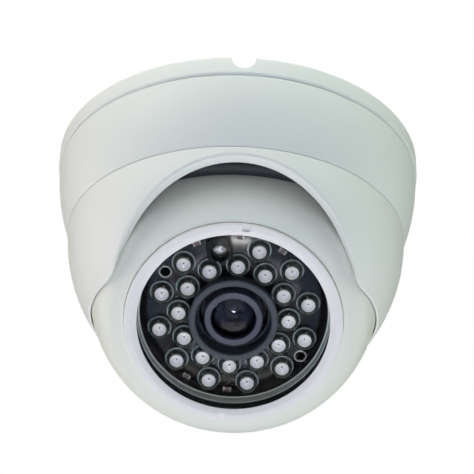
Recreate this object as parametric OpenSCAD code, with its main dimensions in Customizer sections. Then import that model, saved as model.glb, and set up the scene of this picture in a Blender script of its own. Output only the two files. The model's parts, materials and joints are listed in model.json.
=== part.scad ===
// Dome camera for a ceiling: a ball that can be aimed, held in a round base by a cover with
// an arched front. The origin is the centre of the ceiling face. The camera hangs along -Z
// and looks towards -Y. Parts inside the ball are drawn about the lens axis, with the ball's
// centre as their origin and local +Z pointing out of the lens, and are then aimed.

/* [Ball] */
// Radius of the ball
ball_r = 36.1; // [34:0.1:44]
// Wall of the ball's two shells
shell_wall = 2.5; // [1.8:0.1:3.2]
// Angle of the lens axis from straight down
aim_angle = 35.2; // [0:0.1:60]
// How far the face's edge lies inside the ball's sphere
face_cut = 3; // [2:0.1:4.5]
// Radius that rounds the ball's shoulder into the face
shoulder_r = 8.7; // [6:0.1:10]
// Depth cut off the back of the ball
rear_cut = 8; // [6:0.5:10]
// Chamfer around the flat back of the ball
rear_chamfer = 5; // [3:0.5:6]
// Length of the front shell's spigot inside the rear shell
spigot_h = 6; // [5:0.5:8]
// Wall of the spigot
spigot_t = 2.2; // [1.8:0.1:2.6]

/* [Base] */
// How far the flange stands out past the ball
flange_out = 10.4; // [9:0.1:13]
// How far the base's lower edge stands out past the ball
seam_out = 6.9; // [6.4:0.1:8.4]
// Height of the base's lower edge above the ball's centre
seam_up = 13.3; // [12.5:0.1:16]
// Height of the mounting plate
plate_h = 5; // [4:0.1:7]
// Wall of the mounting plate's rim
rim_t = 2.6; // [2:0.1:3.5]
// Thickness of the mounting plate's web
web_t = 2.2; // [1.8:0.1:3]
// Floor of the base housing
floor_t = 2; // [1.5:0.1:3]
// Depth of the parting line between plate and housing
parting = 0.35; // [0.2:0.05:0.5]
// Radius of the cable notch in the rim
notch_r = 2.85; // [2.5:0.05:3.4]
// Radius of the relief that leads the cable past the plate's central hole
relief_r = 4.2; // [3.6:0.1:4.6]
// Straight part of the cable notch's depth
notch_straight = 0.55; // [0:0.05:1]
// Angle between the front and the cable notch
notch_angle = 0.9; // [-5:0.1:5]

/* [Fastening] */
// Diameter of the circle of ceiling screws
ceiling_pcd = 62; // [60:0.5:64]
// Radius of the ceiling screw holes
ceiling_hole_r = 2.25; // [2:0.05:2.6]
// Radius of the bosses around the ceiling screws
ceiling_boss_r = 4.2; // [3.6:0.1:4.6]
// Number of screws in each circle of the base
base_screws = 3; // [3:1:3]
// Shank radius of the screws that join plate and housing
plate_screw_r = 1.1; // [1:0.05:1.3]
// Length of those screws under the head
plate_screw_l = 10; // [8:0.5:12]
// Shank radius of the cover ring's screws
ring_screw_r = 0.8; // [0.6:0.05:0.9]
// Length of the cover ring's screws under the head
ring_screw_l = 4.4; // [4:0.1:4.6]

/* [Cover] */
// Wall of the cover
cover_wall = 3; // [2.4:0.1:3.4]
// Depth of the cover's lower rim below the ball's centre
cover_drop = 9.7; // [8:0.1:11]
// Thickness of the cover's lower lip
lip_t = 0.5; // [0.4:0.05:0.8]
// How far the cover is set back from the base's edge
seam_step = 0.45; // [0.3:0.05:0.7]
// Radius of the arch in the cover's front
arch_r = 30.3; // [28:0.1:31.5]
// Gap left under the seam at the top of the arch
arch_top = 2.5; // [2:0.1:4]
// Radius where the arch runs into the lower rim
arch_corner_r = 2.5; // [1.5:0.1:4]
// Wall of the collar that turns in the base
collar_t = 2.4; // [2.2:0.1:3]
// How far the collar reaches down inside the cover's wall
collar_root = 1.6; // [1.2:0.1:1.8]
// Thickness of the base's inner flange and of the ring above it
flange_t = 1.8; // [1.5:0.1:2.2]
// How far the cover ring overlaps the flange
ring_lap = 1.1; // [0.8:0.1:1.3]

/* [Friction ring] */
// Height of the ring's lower edge above the ball's centre
pad_up = 10.35; // [9.5:0.05:11]
// Height of the ring
pad_h = 5.5; // [4.5:0.1:6]
// Wall of the seat that carries the ring
seat_t = 2.6; // [2:0.1:3]
// Wall of the skirt that grips the seat
skirt_t = 0.6; // [0.5:0.05:0.8]
// Height of the skirt
skirt_h = 3; // [2:0.1:4]

/* [Window] */
// Radius of the opening in the ball's face
face_hole_r = 26.15; // [25.8:0.05:27]
// Width of the rounded edge around the opening
face_edge = 0.25; // [0.2:0.05:0.5]
// How far the bezel ring stands out of the face
bezel_proud = 0.9; // [0.5:0.1:1.5]
// Inner radius of the bezel ring
bezel_in_r = 23; // [22.8:0.1:23.4]
// Wall of the bezel ring's threaded skirt
bezel_skirt_t = 0.8; // [0.7:0.05:0.9]
// Thickness of the bezel ring over the window
bezel_lip_t = 0.7; // [0.5:0.05:1]
// Width of the slope inside the bezel ring
bezel_slope = 1.4; // [1:0.1:1.8]
// Thickness of the clear window
window_t = 1.2; // [1:0.1:2]
// Thickness of the rubber seal under the window
seal_t = 1.9; // [1.5:0.1:2.2]
// Width of the spanner notches in the bezel ring
spanner_w = 1.9; // [1.5:0.1:2.5]
// Angle of the spanner notches on the face
spanner_angle = 84.5; // [60:0.5:120]

/* [Light board] */
// Depth of the light board below the window seal
well_h = 2.3; // [2:0.1:3]
// Radius of the light board
board_r = 22.6; // [22.4:0.1:22.8]
// Thickness of the light board
board_t = 1.2; // [1:0.1:1.6]
// Angle by which the light board is turned on the face
board_clock = 11.9; // [0:0.1:30]
// Radius of the outer circle of lamps
outer_r = 18.17; // [18:0.01:18.4]
// Radius of the inner circle of lamps
inner_r = 13.24; // [13.2:0.01:13.4]
// Places in each circle of lamps
lamp_places = 12; // [12:1:12]
// Radius of a lamp's dome
lamp_r = 2.5; // [2.3:0.05:2.5]
// Radius of a lamp's foot
lamp_foot_r = 2.9; // [2.7:0.05:2.9]
// Height of a lamp's foot
lamp_foot_h = 0.7; // [0.5:0.1:1]
// Straight height between a lamp's foot and dome
lamp_straight = 0.8; // [0.4:0.1:0.8]
// Distance between a lamp's two leads
lead_pitch = 2.54; // [2.54:0.01:2.54]
// Width of the light sensor's hood
hood_w = 5.8; // [5.4:0.1:5.8]
// Radius of the light sensor
sensor_r = 1.8; // [1.5:0.1:1.9]
// Radius of the circle of the board's two hollow rivets
rivet_circle = 19.7; // [19.5:0.1:19.8]
// Bore of the rivets
rivet_bore_r = 1.1; // [0.9:0.05:1.1]
// Wall of the rivets
rivet_t = 0.3; // [0.2:0.05:0.3]
// Radius of the rivets' rolled rim
rivet_rim_r = 1.75; // [1.6:0.05:1.8]

/* [Lens] */
// Thread radius of the lens
lens_r = 6; // [6:0.1:6]
// Radius of the lens's head
lens_head_r = 7.1; // [6.8:0.1:7.4]
// Height of the lens's head
lens_head_h = 5.1; // [4:0.1:5.2]
// Distance from the bezel's front back to the lens's head
lens_depth = 3.2; // [3:0.1:4.5]
// Length of the threaded barrel behind the head
barrel_l = 9; // [8:0.1:9]
// Radius of the front glass
glass_r = 5.3; // [4.5:0.1:5.6]
// Inner radius of the rubber shroud
shroud_in_r = 9; // [8.6:0.1:9.2]
// Outer radius of the shroud at its foot
shroud_foot_r = 10.25; // [10:0.05:10.3]
// Outer radius of the shroud at its rim
shroud_rim_r = 10.8; // [10.4:0.05:10.8]
// Outer radius of the lens holder's tube
holder_r = 8; // [7.6:0.1:8.2]
// Side of the lens holder's square foot
holder_w = 16; // [15:0.1:17]

/* [Circuit boards] */
// Room between the light board and the sensor board
lens_room = 13.5; // [13:0.1:15]
// Side of the square boards
pcb_w = 38; // [36:0.5:38]
// Thickness of the square boards
pcb_t = 1.6; // [1.2:0.1:1.6]
// Distance from a board's centre line to its screws
pcb_hole = 17; // [16:0.1:17]
// Length of the standoffs between the boards
standoff_l = 8.8; // [8:0.1:10]
// Radius of the standoffs and of the posts in front of them
standoff_r = 2.2; // [2:0.1:2.4]
// Radius of the standoffs' threaded studs
stud_r = 1; // [0.8:0.05:1.2]

/* [Cable gland] */
// Radius of the cable bore in the grommet
cable_r = 2.75; // [2.5:0.05:3]
// Outer radius of the grommet
grommet_r = 3.9; // [3.7:0.1:4.1]
// Outer radius of the gland's body
gland_r = 5; // [4.9:0.1:5.4]
// Radius over the corners of the gland's nut and inner flange
nut_r = 7.6; // [7:0.1:8]
// Thickness of the gland's nut
nut_h = 3; // [2.5:0.1:3]
// How far the grommet stands out behind the nut
grommet_out = 3; // [2:0.1:3]

/* [Fits] */
// Gap between the ceiling and the ball
ceiling_gap = 0.25; // [0.2:0.05:1]
// Gap between the ball and the parts that hold it
ball_gap = 0.3; // [0.25:0.05:0.4]
// Radial clearance of parts that turn in each other
turn_gap = 0.08; // [0.05:0.01:0.1]
// Clearance of screws, boards and glass in their seats
seat_gap = 0.1; // [0.05:0.01:0.15]
// Gap between moving parts that only pass each other
pass_gap = 0.3; // [0.25:0.05:0.4]

/* [Hidden] */
$fn = 96;
eps = 0.01;
shell_white = [0.87, 0.88, 0.87];
board_black = [0.05, 0.05, 0.06];
board_green = [0.08, 0.32, 0.18];
rubber_black = [0.07, 0.07, 0.07];
steel = [0.74, 0.75, 0.77];
clear_glass = [0.85, 0.92, 0.95, 0.35];

// Heights along Z in the camera's frame
ball_z = -(ball_r + ceiling_gap);
seam_z = ball_z + seam_up;
rim_z = ball_z - cover_drop;
housing_top = -plate_h;
floor_low = housing_top - floor_t;
flange_top = seam_z + flange_t;
ring_low = flange_top + pass_gap;
pad_low = ball_z + pad_up;
seat_low = pad_low + pad_h;

// Radii about Z, from the ball outwards
grip_r = ball_r + ball_gap;
seat_in_r = sqrt(grip_r * grip_r - pad_up * pad_up);
seat_out_r = seat_in_r + seat_t;
pad_out_r = seat_out_r + skirt_t;
collar_in_r = pad_out_r + 2 * pass_gap;
collar_out_r = collar_in_r + collar_t;
bore_r = collar_out_r + turn_gap;
ring_out_r = bore_r + ring_lap;
cavity_r = ring_out_r + pass_gap;
seam_r = ball_r + seam_out;
flange_r = ball_r + flange_out;
rim_r = sqrt(grip_r * grip_r - cover_drop * cover_drop) + lip_t;
cover_r = seam_r - seam_step;
cable_hole_r = ceiling_pcd / 2 - ceiling_boss_r;
post_circle_r = (seat_out_r + cavity_r) / 2;
ring_screw_circle_r = (collar_in_r + collar_out_r) / 2;

// Arc of the housing's side, upright at the plate and ending at the seam
side_h = housing_top - seam_z;
side_d = flange_r - seam_r;
side_arc_r = (side_h * side_h + side_d * side_d) / (2 * side_d);

// Arc of the cover's side, upright at the seam and ending at the lower rim
cover_h = seam_z - rim_z;
cover_cx = (cover_r + rim_r) / 2 - cover_h * cover_h / (2 * (cover_r - rim_r));
cover_arc_r = cover_r - cover_cx;
arch_z = seam_z - arch_top - arch_r;

// Screws of the base
screw_step = 360 / base_screws;
ceiling_turn = 10;
plate_turn = ceiling_turn - screw_step / 4;
ring_turn = 30;
plate_head_r = 2.3;
plate_head_h = 1.2;
plate_boss_r = 3.1;
post_r = 2.4;
post_low = housing_top - plate_screw_l - 1;
ring_head_r = 1.1;
ring_head_h = 0.6;
ring_screw_tip = ring_low + flange_t - ring_screw_l;

// Heights along the lens axis, from the ball's centre
face_r = face_hole_r + face_edge;
face_far = ball_r - face_cut;
face_z = sqrt(face_far * face_far - face_r * face_r);
bezel_z = face_z + bezel_proud;
window_top = bezel_z - bezel_lip_t;
window_low = window_top - window_t;
ledge_z = window_low - seal_t;
board_z = ledge_z - well_h;
shelf_z = board_z - board_t;
shelf_low = shelf_z - 2;
sensor_z = shelf_z - lens_room;
power_z = sensor_z - pcb_t - standoff_l;
lens_z = bezel_z - lens_depth;
lens_neck_z = lens_z - lens_head_h;
lens_low_z = lens_neck_z - barrel_l;
split_z = -1;
split_gap = 0.1;
rear_z = -(ball_r - rear_cut);
rear_in_z = rear_z + shell_wall;
ball_in_r = ball_r - shell_wall;
spigot_r = ball_in_r - 0.4;
spigot_in_r = spigot_r - spigot_t;
spigot_low = split_z - spigot_h;
lamp_centre_z = board_z + lamp_foot_h + lamp_straight;
shelf_in_r = board_r - 1.2;
lug_h = 6;
bezel_out_r = face_hole_r - seat_gap;
window_r = bezel_out_r - bezel_skirt_t - seat_gap;

// The shoulder's arc touches the sphere inside and ends at the face's edge
shoulder_far = ball_r - shoulder_r;
shoulder_turn = acos(
    (shoulder_far * shoulder_far + face_far * face_far - shoulder_r * shoulder_r)
    / (2 * shoulder_far * face_far));
shoulder_angle = atan2(face_z, face_r) - shoulder_turn;
shoulder_x = shoulder_far * cos(shoulder_angle);
shoulder_z = shoulder_far * sin(shoulder_angle);
shoulder_end = atan2(face_z - shoulder_z, face_r - shoulder_x);
shoulder_steps = 7;

// Places on the light board
outer_angles = [for (i = [1 : lamp_places - 1]) 90 + i * 360 / lamp_places];
inner_angles = [for (i = [0 : lamp_places - 1]) 90 + (i + 0.5) * 360 / lamp_places];
lamp_hole_r = 0.4;
lead_r = 0.25;
lead_below = 1;
hood_low_r = 15.9;
hood_high_r = 22.1;
hood_top_z = window_low - 0.2;
sensor_place_r = hood_low_r + sensor_r + 0.25;
rivet_angles = [135, 315];
rivet_rim_h = 0.3;
lens_hole_r = holder_r + 0.3;

// Parts of the square boards and the gland
filter_w = 8.4;
filter_t = 0.5;
filter_z = sensor_z + 1.5;
chip_w = 9;
chip_t = 1.1;
holder_foot_h = 3;
holder_top = lens_neck_z - 1.4;
seal_ring_r = 0.8;
gland_flange_h = 2;
gland_body_low = rear_z - nut_h - 0.6;
cap_r = 3.15;
cap_h = 7.7;

// ---- Helpers ----

// Puts parts drawn about the lens axis where the ball is aimed
module aim() {
    translate([0, 0, ball_z])
        rotate([180 - aim_angle, 0, 0])
            children();
}

// Copies children to equal steps around Z
module around(count, radius, turn = 0) {
    for (i = [0 : count - 1])
        rotate([0, 0, turn + i * 360 / count])
            translate([radius, 0, 0])
                children();
}

// Puts children at a place on the light board, with local +X pointing outwards
module on_board(radius, angle) {
    rotate([0, 0, board_clock + angle])
        translate([radius, 0, 0])
            children();
}

// Copies children to the four corners of a square board
module at_corners() {
    for (x = [-pcb_hole, pcb_hole], y = [-pcb_hole, pcb_hole])
        translate([x, y, 0])
            children();
}

// Hollow cylinder between two heights
module tube(outer, inner, low, high) {
    translate([0, 0, low])
        difference() {
            cylinder(r = outer, h = high - low);
            translate([0, 0, -eps])
                cylinder(r = inner, h = high - low + 2 * eps);
        }
}

// Solid cylinder between two heights
module post(radius, low, high) {
    translate([0, 0, low])
        cylinder(r = radius, h = high - low);
}

// Pan-head screw with a cross recess, its head's underside at the origin and its shank along -Z
module screw(head_r, head_h, shank_r, shank_l) {
    recess_w = head_r * 0.3;
    recess_l = head_r * 1.2;
    difference() {
        union() {
            cylinder(r = head_r, h = head_h);
            translate([0, 0, -shank_l])
                cylinder(r = shank_r, h = shank_l + eps);
        }
        for (turn = [0, 90])
            rotate([0, 0, turn])
                translate([-recess_l / 2, -recess_w / 2, head_h * 0.4])
                    cube([recess_l, recess_w, head_h]);
    }
}

// Points along an arc
function arc(cx, cy, radius, from, to, steps) = [
    for (i = [0 : steps])
        let (a = from + (to - from) * i / steps)
            [cx + radius * cos(a), cy + radius * sin(a)]
];

// Rectangle between two corners
module box2d(x0, y0, x1, y1) {
    translate([x0, y0])
        square([x1 - x0, y1 - y0]);
}

// ---- Base, fixed to the ceiling ----

module mounting_plate() {
    color(shell_white)
        difference() {
            union() {
                tube(flange_r, flange_r - rim_t, -plate_h, 0);
                tube(flange_r - rim_t + eps, cable_hole_r, -web_t, 0);
                around(base_screws, ceiling_pcd / 2, ceiling_turn)
                    post(ceiling_boss_r, -plate_h, 0);
                around(base_screws, post_circle_r, plate_turn)
                    post(plate_boss_r, -plate_h, 0);
            }
            around(base_screws, ceiling_pcd / 2, ceiling_turn)
                post(ceiling_hole_r, -plate_h - eps, eps);
            around(base_screws, post_circle_r, plate_turn) {
                post(plate_screw_r + seat_gap, -plate_h - eps, eps);
                post(plate_head_r + seat_gap, -plate_head_h - 0.2, eps);
            }
            translate([0, cable_hole_r + 0.4, 0])
                post(relief_r, -plate_h, eps);
            cable_notch();
            parting_groove();
        }
}

// Channel from the central hole to a half-round notch in the front of the rim
module cable_notch() {
    rotate([90, 0, notch_angle])
        translate([0, 0, cable_hole_r - 4])
            linear_extrude(flange_out + ball_r)
                union() {
                    translate([0, -notch_straight])
                        circle(r = notch_r);
                    box2d(-notch_r, -notch_straight, notch_r, 1);
                }
}

// Chamfer around the lower edge of the plate, which shows as a line above the housing
module parting_groove() {
    rotate_extrude()
        polygon([
            [flange_r - parting, -plate_h - eps],
            [flange_r + 1, -plate_h - eps],
            [flange_r + 1, -plate_h + parting + 1],
            [flange_r + eps, -plate_h + parting],
        ]);
}

module base_housing() {
    color(shell_white)
        difference() {
            union() {
                rotate_extrude()
                    housing_profile();
                around(base_screws, ceiling_pcd / 2, ceiling_turn)
                    post(ceiling_boss_r, floor_low - 1.5, housing_top);
                around(base_screws, post_circle_r, plate_turn)
                    post(post_r, post_low, housing_top);
            }
            around(base_screws, ceiling_pcd / 2, ceiling_turn)
                post(ceiling_hole_r, floor_low - 2, housing_top + eps);
            around(base_screws, post_circle_r, plate_turn)
                post(plate_screw_r + seat_gap, post_low + 0.5, housing_top + eps);
        }
}

// Half section of the housing: curved side, floor, inner flange and the friction ring's seat
module housing_profile() {
    difference() {
        intersection() {
            translate([flange_r - parting - side_arc_r, housing_top])
                circle(r = side_arc_r);
            box2d(bore_r, seam_z, flange_r + 1, housing_top);
        }
        box2d(0, flange_top, cavity_r, floor_low);
        translate([flange_r - parting, housing_top])
            rotate(45)
                square(parting, center = true);
    }
    box2d(cable_hole_r, floor_low, cavity_r + 1, housing_top);
    box2d(seat_in_r, seat_low, seat_out_r, floor_low + eps);
}

module plate_screws() {
    color(steel)
        around(base_screws, post_circle_r, plate_turn)
            translate([0, 0, -plate_head_h])
                screw(plate_head_r, plate_head_h, plate_screw_r, plate_screw_l);
}

module friction_ring() {
    color(rubber_black)
        rotate_extrude()
            difference() {
                union() {
                    box2d(seat_in_r - 2, pad_low + 1.6, pad_out_r, seat_low);
                    box2d(seat_in_r - 2, pad_low, pad_out_r - 1.6, seat_low);
                    translate([pad_out_r - 1.6, pad_low + 1.6])
                        circle(r = 1.6);
                    box2d(seat_out_r + 2 * eps, seat_low - eps, pad_out_r, seat_low + skirt_h);
                }
                translate([0, ball_z])
                    circle(r = grip_r);
            }
}

// ---- Cover, which turns on the base ----

module dome_cover() {
    color(shell_white)
        difference() {
            union() {
                rotate_extrude()
                    cover_profile();
                tube(collar_out_r, collar_in_r, seam_z - collar_root, ring_low);
            }
            arch_cut();
            around(base_screws, ring_screw_circle_r, ring_turn)
                post(ring_screw_r + seat_gap / 2, ring_screw_tip - 0.3, ring_low + eps);
        }
}

// Half section of the cover's side, hollow above and fitted to the ball at its lower lip
module cover_profile() {
    difference() {
        intersection() {
            translate([cover_cx, seam_z])
                circle(r = cover_arc_r);
            box2d(0, rim_z, cover_r + 1, seam_z - pass_gap);
        }
        intersection() {
            translate([cover_cx, seam_z])
                circle(r = cover_arc_r - cover_wall);
            box2d(0, rim_z - 1, cover_r, seam_z - collar_root);
        }
        box2d(0, rim_z - 1, collar_in_r, seam_z);
        translate([0, ball_z])
            circle(r = grip_r);
    }
}

// Arched opening in the cover's front, with its lower corners rounded
module arch_cut() {
    corner_z = rim_z + arch_corner_r;
    corner_far = arch_r + arch_corner_r;
    corner_rise = corner_z - arch_z;
    corner_x = sqrt(corner_far * corner_far - corner_rise * corner_rise);
    touch = arch_r / corner_far;
    rotate([90, 0, 0])
        linear_extrude(flange_r)
            union() {
                translate([0, arch_z])
                    circle(r = arch_r);
                for (side = [-1, 1])
                    scale([side, 1])
                        difference() {
                            polygon([
                                [corner_x, corner_z],
                                [corner_x * touch - 0.5, arch_z + corner_rise * touch],
                                [corner_x * touch - 0.5, rim_z - 1],
                                [corner_x, rim_z - 1],
                            ]);
                            translate([corner_x, corner_z])
                                circle(r = arch_corner_r);
                        }
            }
}

module cover_ring() {
    color(shell_white)
        difference() {
            tube(ring_out_r, collar_in_r, ring_low, ring_low + flange_t);
            around(base_screws, ring_screw_circle_r, ring_turn)
                post(ring_screw_r + seat_gap / 2, ring_low - eps, ring_low + flange_t + eps);
        }
}

module cover_ring_screws() {
    color(steel)
        around(base_screws, ring_screw_circle_r, ring_turn)
            translate([0, 0, ring_low + flange_t])
                screw(ring_head_r, ring_head_h, ring_screw_r, ring_screw_l);
}

// ---- Rear half of the ball, with the cable's way out ----

module rear_shell() {
    color(shell_white)
        aim()
            difference() {
                rotate_extrude()
                    rear_profile();
                post(gland_r + seat_gap, rear_z - 1, rear_in_z + 1);
            }
}

// Half section of the rear shell
module rear_profile() {
    corner_r = sqrt(ball_r * ball_r - rear_z * rear_z);
    difference() {
        intersection() {
            circle(r = ball_r);
            polygon([
                [0, rear_z],
                [corner_r - rear_chamfer, rear_z],
                [corner_r + rear_chamfer, rear_z + rear_chamfer],
                [ball_r + 1, rear_z + 3 * rear_chamfer],
                [ball_r + 1, split_z - split_gap],
                [0, split_z - split_gap],
            ]);
        }
        intersection() {
            circle(r = ball_in_r - 0.5);
            polygon([
                [0, rear_in_z],
                [corner_r - rear_chamfer - 1, rear_in_z],
                [corner_r + rear_chamfer - 2, rear_in_z + rear_chamfer],
                [ball_r + 1, rear_in_z + 3 * rear_chamfer],
                [ball_r + 1, 0],
                [0, 0],
            ]);
        }
        box2d(0, spigot_low - 0.5, spigot_r + turn_gap, 0);
    }
}

module cable_gland() {
    color(rubber_black)
        aim()
            difference() {
                union() {
                    translate([0, 0, rear_in_z])
                        cylinder(r = nut_r, h = gland_flange_h, $fn = 6);
                    post(gland_r, gland_body_low, rear_in_z + eps);
                }
                post(grommet_r + seat_gap / 2, gland_body_low - 1, rear_in_z + gland_flange_h + 1);
            }
}

module gland_nut() {
    color(rubber_black)
        aim()
            translate([0, 0, rear_z - nut_h])
                difference() {
                    cylinder(r = nut_r, h = nut_h, $fn = 6);
                    translate([0, 0, -eps])
                        cylinder(r = gland_r + seat_gap / 2, h = nut_h + 2 * eps);
                }
}

module cable_grommet() {
    grommet_low = gland_body_low - grommet_out;
    color(rubber_black)
        aim()
            union() {
                tube(grommet_r, cable_r, grommet_low, rear_in_z + gland_flange_h);
                tube(gland_r, cable_r, gland_body_low - 1.2, gland_body_low);
            }
}

// ---- Front half of the ball ----

module front_shell() {
    color(shell_white)
        aim()
            difference() {
                union() {
                    rotate_extrude()
                        front_profile();
                    at_corners()
                        post(standoff_r, sensor_z, shelf_low + eps);
                    for (angle = rivet_angles)
                        on_board(rivet_circle, angle)
                            post(rivet_rim_r + 1.25, shelf_z - lug_h, shelf_z);
                }
                at_corners()
                    post(stud_r + seat_gap / 2, sensor_z - eps, sensor_z + 6);
                for (angle = rivet_angles)
                    on_board(rivet_circle, angle)
                        post(rivet_bore_r + rivet_t + seat_gap / 2, shelf_z - lug_h + 1, shelf_z + eps);
            }
}

// Half section of the front shell: skin, face, window well, board shelf and spigot
module front_profile() {
    difference() {
        intersection() {
            circle(r = ball_r);
            polygon(concat(
                [[0, split_z], [ball_r + 1, split_z]],
                [[ball_r + 1, shoulder_z / 2]],
                arc(shoulder_x, shoulder_z, shoulder_r, shoulder_angle, shoulder_end, shoulder_steps),
                [[face_hole_r, face_z - face_edge / 2], [0, face_z - face_edge / 2]]
            ));
        }
        intersection() {
            circle(r = ball_in_r);
            box2d(0, split_z - 1, ball_r, shelf_low);
        }
        box2d(0, shelf_low - 1, shelf_in_r, face_z + 1);
        box2d(0, shelf_z, board_r + seat_gap, ledge_z);
        box2d(0, board_z, bezel_in_r, ledge_z + eps);
        box2d(0, ledge_z, face_hole_r, face_z + 1);
    }
    difference() {
        box2d(spigot_in_r, spigot_low, spigot_r, split_z + 2);
        box2d(spigot_r - 2 * seal_ring_r, spigot_low + 1.5, spigot_r + 1, spigot_low + 1.5 + 2 * seal_ring_r);
    }
    box2d(spigot_r - eps, split_z, ball_in_r + shell_wall / 2, split_z + 2);
}

// Rubber ring in the spigot's groove
module shell_seal() {
    color(rubber_black)
        aim()
            rotate_extrude()
                translate([spigot_r - seal_ring_r, spigot_low + 1.5 + seal_ring_r])
                    circle(r = seal_ring_r - 0.03);
}

module bezel_ring() {
    color(shell_white)
        aim()
            difference() {
                rotate_extrude()
                    polygon([
                        [bezel_out_r - bezel_skirt_t, ledge_z + seat_gap],
                        [bezel_out_r, ledge_z + seat_gap],
                        [bezel_out_r, bezel_z - 0.3],
                        [bezel_out_r - 0.3, bezel_z],
                        [bezel_in_r + bezel_slope, bezel_z],
                        [bezel_in_r, window_top + 0.15],
                        [bezel_in_r, window_top],
                        [bezel_out_r - bezel_skirt_t, window_top],
                    ]);
                for (turn = [0, 180])
                    rotate([0, 0, spanner_angle + turn])
                        translate([bezel_in_r + bezel_slope, -spanner_w / 2, bezel_z - 0.6])
                            cube([4, spanner_w, 2]);
            }
}

module window() {
    color(clear_glass)
        aim()
            post(window_r, window_low, window_top);
}

module window_seal() {
    color(rubber_black)
        aim()
            tube(window_r, bezel_in_r + 0.2, ledge_z, window_low);
}

// ---- Light board and what is on it ----

module light_board() {
    color(board_black)
        aim()
            difference() {
                tube(board_r, lens_hole_r, shelf_z, board_z);
                for (angle = outer_angles)
                    on_board(outer_r, angle)
                        lead_holes();
                for (angle = inner_angles)
                    on_board(inner_r, angle)
                        lead_holes();
                for (angle = rivet_angles)
                    on_board(rivet_circle, angle)
                        post(rivet_bore_r + rivet_t + seat_gap, shelf_z - eps, board_z + eps);
            }
}

// Holes for one lamp's leads
module lead_holes() {
    for (y = [-lead_pitch / 2, lead_pitch / 2])
        translate([0, y, 0])
            post(lamp_hole_r, shelf_z - eps, board_z + eps);
}

// Clear lamp with a foot, a domed top and two leads
module lamp(radius, angle) {
    color(clear_glass)
        aim()
            on_board(radius, angle)
                union() {
                    post(lamp_foot_r, board_z, board_z + lamp_foot_h);
                    rotate_extrude()
                        union() {
                            box2d(0, board_z + lamp_foot_h / 2, lamp_r, lamp_centre_z);
                            intersection() {
                                translate([0, lamp_centre_z])
                                    circle(r = lamp_r);
                                box2d(0, lamp_centre_z - eps, lamp_r, lamp_centre_z + lamp_r);
                            }
                        }
                    for (y = [-lead_pitch / 2, lead_pitch / 2])
                        translate([0, y, 0])
                            post(lead_r, shelf_z - lead_below, board_z + eps);
                }
}

// Hollow rivets that hold the light board in the shell
module light_board_rivets() {
    outer = rivet_bore_r + rivet_t;
    color(steel)
        aim()
            for (angle = rivet_angles)
                on_board(rivet_circle, angle)
                    difference() {
                        union() {
                            post(outer, shelf_z - lug_h + 1.5, board_z + eps);
                            post(rivet_rim_r, board_z, board_z + rivet_rim_h);
                        }
                        post(rivet_bore_r, shelf_z - lug_h + 2, board_z + 1);
                    }
}

// Small chip parts near the light board's edge
module light_board_chips() {
    color(rubber_black)
        aim()
            for (place = [[20.6, 104.5], [20.4, 75.5], [20.4, 45], [20.4, 225], [20.4, 255]])
                on_board(place[0], place[1])
                    translate([-0.6, -1, board_z])
                        cube([1.2, 2, 0.6]);
}

// Black hood that keeps the lamps' light off the sensor
module sensor_hood() {
    corner = 2.4;
    color(rubber_black)
        aim()
            on_board(0, 90)
                translate([0, 0, board_z])
                    difference() {
                        linear_extrude(hood_top_z - board_z)
                            union() {
                                box2d(hood_low_r, -hood_w / 2, hood_high_r - corner, hood_w / 2);
                                box2d(hood_low_r, -hood_w / 2 + corner, hood_high_r, hood_w / 2 - corner);
                                for (y = [-hood_w / 2 + corner, hood_w / 2 - corner])
                                    translate([hood_high_r - corner, y])
                                        circle(r = corner);
                            }
                        translate([sensor_place_r, 0, -eps])
                            cylinder(r = sensor_r + 0.1, h = 10);
                    }
}

module light_sensor() {
    color("olivedrab")
        aim()
            on_board(sensor_place_r, 90)
                union() {
                    post(sensor_r, board_z, board_z + 1.4);
                    translate([0, 0, board_z + 1.4])
                        cylinder(r1 = sensor_r - 0.2, r2 = sensor_r - 0.8, h = 0.7);
                }
}

// ---- Lens holder and circuit boards ----

module lens_shroud() {
    color(rubber_black)
        aim()
            rotate_extrude()
                polygon([
                    [shroud_in_r, board_z],
                    [shroud_foot_r, board_z],
                    [shroud_rim_r, hood_top_z - 0.4],
                    [shroud_rim_r - 0.4, hood_top_z],
                    [shroud_in_r + 0.4, hood_top_z],
                    [shroud_in_r, hood_top_z - 0.4],
                ]);
}

module lens_holder() {
    color(rubber_black)
        aim()
            difference() {
                union() {
                    translate([-holder_w / 2, -holder_w / 2, sensor_z])
                        cube([holder_w, holder_w, holder_foot_h]);
                    post(holder_r, sensor_z, holder_top);
                }
                translate([-6, -6, sensor_z - eps])
                    cube([12, 12, filter_z - sensor_z]);
                translate([-filter_w / 2 - seat_gap, -filter_w / 2 - seat_gap, filter_z - 2 * eps])
                    cube([filter_w + 2 * seat_gap, filter_w + 2 * seat_gap, filter_t + 2 * eps]);
                post(lens_r - 2.2, sensor_z + 1, holder_top);
                post(lens_r + turn_gap, lens_low_z - 0.5, holder_top + eps);
            }
}

module infrared_filter() {
    color("cyan", 0.5)
        aim()
            translate([-filter_w / 2, -filter_w / 2, filter_z])
                cube([filter_w, filter_w, filter_t]);
}

module image_sensor() {
    color("dimgray")
        aim()
            translate([-chip_w / 2, -chip_w / 2, sensor_z])
                cube([chip_w, chip_w, chip_t]);
}

// Square board with a hole in each corner, its front face at the given height
module square_board(front_z, hole_r) {
    difference() {
        translate([-pcb_w / 2, -pcb_w / 2, front_z - pcb_t])
            cube([pcb_w, pcb_w, pcb_t]);
        at_corners()
            post(hole_r, front_z - pcb_t - eps, front_z + eps);
    }
}

module sensor_board() {
    color(board_green)
        aim()
            square_board(sensor_z, stud_r + seat_gap);
}

module power_board() {
    color(board_green)
        aim()
            square_board(power_z, stud_r + seat_gap);
}

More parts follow.
